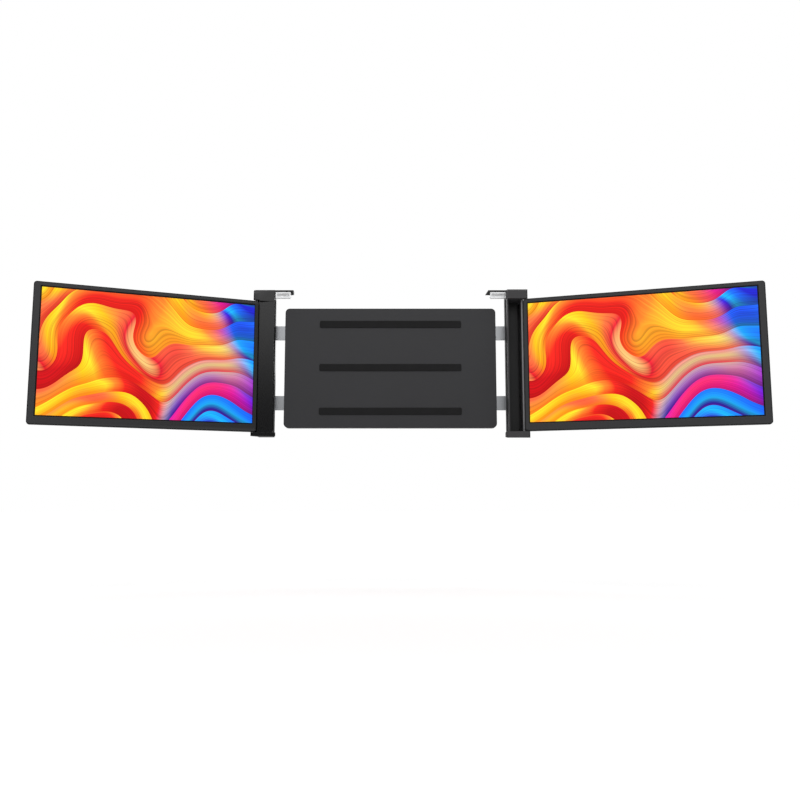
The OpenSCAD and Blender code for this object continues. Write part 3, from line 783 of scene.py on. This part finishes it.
class EXTENDER_OT_support(bpy.types.Operator):
    """Plate behind the lid, its screws and pads, and the fold-out stand"""
    bl_idname = "extender.support"
    bl_label = "Support plate"

    def execute(self, context):
        look = context.scene.extender_brackets
        plate = moulded_abs("Moulded ABS, plate", look.plate, roughness=0.5, grain_mm=0.6, depth_mm=0.06)
        stand = moulded_abs("Moulded ABS, stand", look.stand,
                            roughness=0.45, grain_mm=0.5, depth_mm=0.04)
        rubber = silicone("Silicone, plate pads", look.rubber)
        zinc = context.scene.extender_metal.steel
        steel = brushed_metal("Zinc plated steel, plate screws", zinc,
                              roughness=0.35, line_mm=0.2, along=2)
        dress(["support_front", "support_rear"], plate, 0.2 * MM)
        dress(["kickstand"], stand, 0.2 * MM)
        dress(["lid_pads", "kickstand_pad"], rubber, 0.25 * MM)
        columns, heights = (-135, -78, 78, 135), (-77, 77)
        head = screw(head=2.5, key=1.15, shank=1.2, seat=11.8, crown=12.8, tip=3.2)
        piece = surface("plate_screw_heads", copies(head, [(x, z) for x in columns for z in heights]) * MM,
                        caps=True)
        fit(piece, "support", SLOT_OF["support_screws"], steel, "support_screws")
        return {"FINISHED"}


class EXTENDER_OT_metal(bpy.types.Operator):
    """Slides, guides, pins, hinge bars and bracket screws"""
    bl_idname = "extender.metal"
    bl_label = "Metal parts"

    def execute(self, context):
        look = context.scene.extender_metal
        slide = brushed_metal("Mill finished aluminium, slides", look.slide,
                              roughness=0.38, line_mm=0.3, along=0)
        steel = brushed_metal("Zinc plated steel", look.steel, roughness=0.35, line_mm=0.2, along=2)
        dark = brushed_metal("Blackened steel", look.dark, roughness=0.42, line_mm=0.2, along=2)
        dress(both_sides("slide"), slide, 0.12 * MM)
        dress(["guide_top", "guide_bottom"], slide)
        dress(["kickstand_pin"] + both_sides("backlight"), steel)
        dress(both_sides("pins", "hinge_bar"), dark)
        low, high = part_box("right_frame_screws")
        across, heights = (low[0] + high[0]) / 2 / MM, (-55, 0, 55)
        head = screw(head=2.5, key=1.15, shank=1.2, seat=11.7, crown=12.8, tip=0.0)
        for name, screen in SCREENS.items():
            rows = copies(head, [(screen["side"] * across, z) for z in heights]) * MM
            piece = surface(name + "_frame_screw_heads", rows, caps=True)
            fit(piece, name + "_bracket", SLOT_OF[name + "_frame_screws"], steel, name + "_frame_screws")
        return {"FINISHED"}


class EXTENDER_OT_electronics(bpy.types.Operator):
    """Driver boards and their flat cables"""
    bl_idname = "extender.electronics"
    bl_label = "Electronics"

    def execute(self, context):
        dress(both_sides("board"), circuit_laminate("Circuit laminate, green mask"))
        dress(both_sides("ribbon"), amber_film("Polyimide flat cable"))
        return {"FINISHED"}


def softbox(name, place, size, power):
    """Large rectangular light that faces the object."""
    lamp = bpy.data.lights.new(name, "AREA")
    lamp.shape = "RECTANGLE"
    lamp.size, lamp.size_y = size
    lamp.energy = power
    box = bpy.data.objects.new(name, lamp)
    box.location = place
    box.rotation_euler = (-Vector(place)).to_track_quat("-Z", "Y").to_euler()
    bpy.context.scene.collection.objects.link(box)


def white_room(light):
    """World that is plain white to the eye, and dimmer in the light it gives, which
    fades towards the horizon."""
    world = bpy.data.worlds.new("White room")
    world.use_nodes = True
    tree = world.node_tree
    tree.nodes.clear()
    place = add(tree, "ShaderNodeTexCoord")
    height = add(tree, "ShaderNodeSeparateXYZ", {0: place.outputs["Generated"]})
    above = add(tree, "ShaderNodeMath", {0: height.outputs[2], 1: 0.05}, operation="SUBTRACT")
    away = add(tree, "ShaderNodeMath", {0: above.outputs[0]}, operation="ABSOLUTE")
    fade = add(tree, "ShaderNodeMapRange", {"Value": away.outputs[0], "From Max": 0.45,
                                            "To Min": 0.15 * light, "To Max": light})
    given = add(tree, "ShaderNodeBackground", {"Color": (1, 1, 1, 1), "Strength": fade.outputs[0]})
    seen = add(tree, "ShaderNodeBackground", {"Color": (1, 1, 1, 1), "Strength": 1.0})
    path = add(tree, "ShaderNodeLightPath")
    both = add(tree, "ShaderNodeMixShader", {0: path.outputs["Is Camera Ray"], 1: given.outputs[0],
                                             2: seen.outputs[0]})
    add(tree, "ShaderNodeOutputWorld", {0: both.outputs[0]})
    return world


def floor_paint(base):
    """Matte paint that glows faintly near the middle and fully, as white as the room,
    from 2.2 m out."""
    paint, tree, shader = new_finish("Matte paint, floor")
    place = add(tree, "ShaderNodeTexCoord")
    away = add(tree, "ShaderNodeVectorMath", {0: place.outputs["Object"]}, operation="LENGTH")
    glow = add(tree, "ShaderNodeMapRange", {"Value": away.outputs["Value"], "From Min": 0.5,
                                            "From Max": 2.2, "To Min": 0.28, "To Max": 1.0},
               interpolation_type="SMOOTHSTEP")
    feed(tree, shader, {"Base Color": (*base, 1), "Roughness": 1.0, "Specular IOR Level": 0.0,
                        "Emission Color": (1, 1, 1, 1), "Emission Strength": glow.outputs[0]})
    return paint


class EXTENDER_OT_stage(bpy.types.Operator):
    """Camera, soft lights, white room and pale floor"""
    bl_idname = "extender.stage"
    bl_label = "Stage"

    def execute(self, context):
        scene, look = context.scene, context.scene.extender_stage
        scene.view_settings.view_transform = "Standard"
        scene.world = white_room(look.room)
        lens = bpy.data.cameras.new("Camera")
        lens.sensor_width = 36
        lens.lens = look.lens
        lens.clip_end = 50
        camera = bpy.data.objects.new("Camera", lens)
        camera.location = (13.56 * MM, -1158.5 * MM, -198.5 * MM)
        camera.rotation_euler = (math.pi / 2 + look.tilt, 0, 0)
        scene.collection.objects.link(camera)
        scene.camera = camera
        softbox("Overhead softbox", (0, 0, 2.2), (3.0, 2.0), look.key * 0.8)
        softbox("Front softbox", (0, -2.6, 1.3), (3.4, 1.6), look.key)
        softbox("Rear softbox", (0, 2.6, 1.1), (3.4, 1.4), look.key * 1.4)

        # Floor: a flat disc of rings that widen outwards as the square of their number
        reach, steps = 30, 96
        radius = np.linspace(0.001, 1, 30)[:, None] ** 2 * reach
        around = np.linspace(0, 2 * math.pi, steps, endpoint=False)
        level = np.full((len(radius), steps), -look.drop)
        rows = np.stack([radius * np.cos(around), radius * np.sin(around), level], -1)
        floor = surface("floor", rows)
        floor.data.materials.append(floor_paint(look.floor))
        floor.visible_glossy = False
        floor.visible_diffuse = False
        return {"FINISHED"}


MAKERS = (EXTENDER_OT_bezels, EXTENDER_OT_pictures, EXTENDER_OT_shells, EXTENDER_OT_sockets,
          EXTENDER_OT_brackets, EXTENDER_OT_clips, EXTENDER_OT_support, EXTENDER_OT_metal,
          EXTENDER_OT_electronics, EXTENDER_OT_stage)


class EXTENDER_PT_panel(bpy.types.Panel):
    """Sidebar list of the settings and the makers"""
    bl_label = "Screen extender"
    bl_idname = "EXTENDER_PT_panel"
    bl_space_type = "VIEW_3D"
    bl_region_type = "UI"
    bl_category = "Screen extender"

    def draw(self, context):
        for key, group in GROUPS.items():
            box = self.layout.box()
            for name in group.__annotations__:
                box.prop(getattr(context.scene, key), name)
        for maker in MAKERS:
            self.layout.operator(maker.bl_idname)


GROUPS = {"extender_screens": ExtenderScreens, "extender_brackets": ExtenderBrackets,
          "extender_metal": ExtenderMetal, "extender_stage": ExtenderStage}


def register():
    """Adds the settings to the scene, and the makers and the panel to Blender."""
    for key, group in GROUPS.items():
        bpy.utils.register_class(group)
        setattr(bpy.types.Scene, key, PointerProperty(type=group))
    for maker in MAKERS + (EXTENDER_PT_panel,):
        bpy.utils.register_class(maker)


def unregister():
    """Takes them away again, in reverse."""
    for maker in (EXTENDER_PT_panel,) + MAKERS[::-1]:
        bpy.utils.unregister_class(maker)
    for key, group in GROUPS.items():
        delattr(bpy.types.Scene, key)
        bpy.utils.unregister_class(group)


def main():
    """Makes everything in order."""
    register()
    bpy.ops.extender.bezels()
    bpy.ops.extender.pictures()
    bpy.ops.extender.shells()
    bpy.ops.extender.sockets()
    bpy.ops.extender.brackets()
    bpy.ops.extender.clips()
    bpy.ops.extender.support()
    bpy.ops.extender.metal()
    bpy.ops.extender.electronics()
    bpy.ops.extender.stage()
    bpy.context.view_layer.update()


if __name__ == "__main__":
    main()
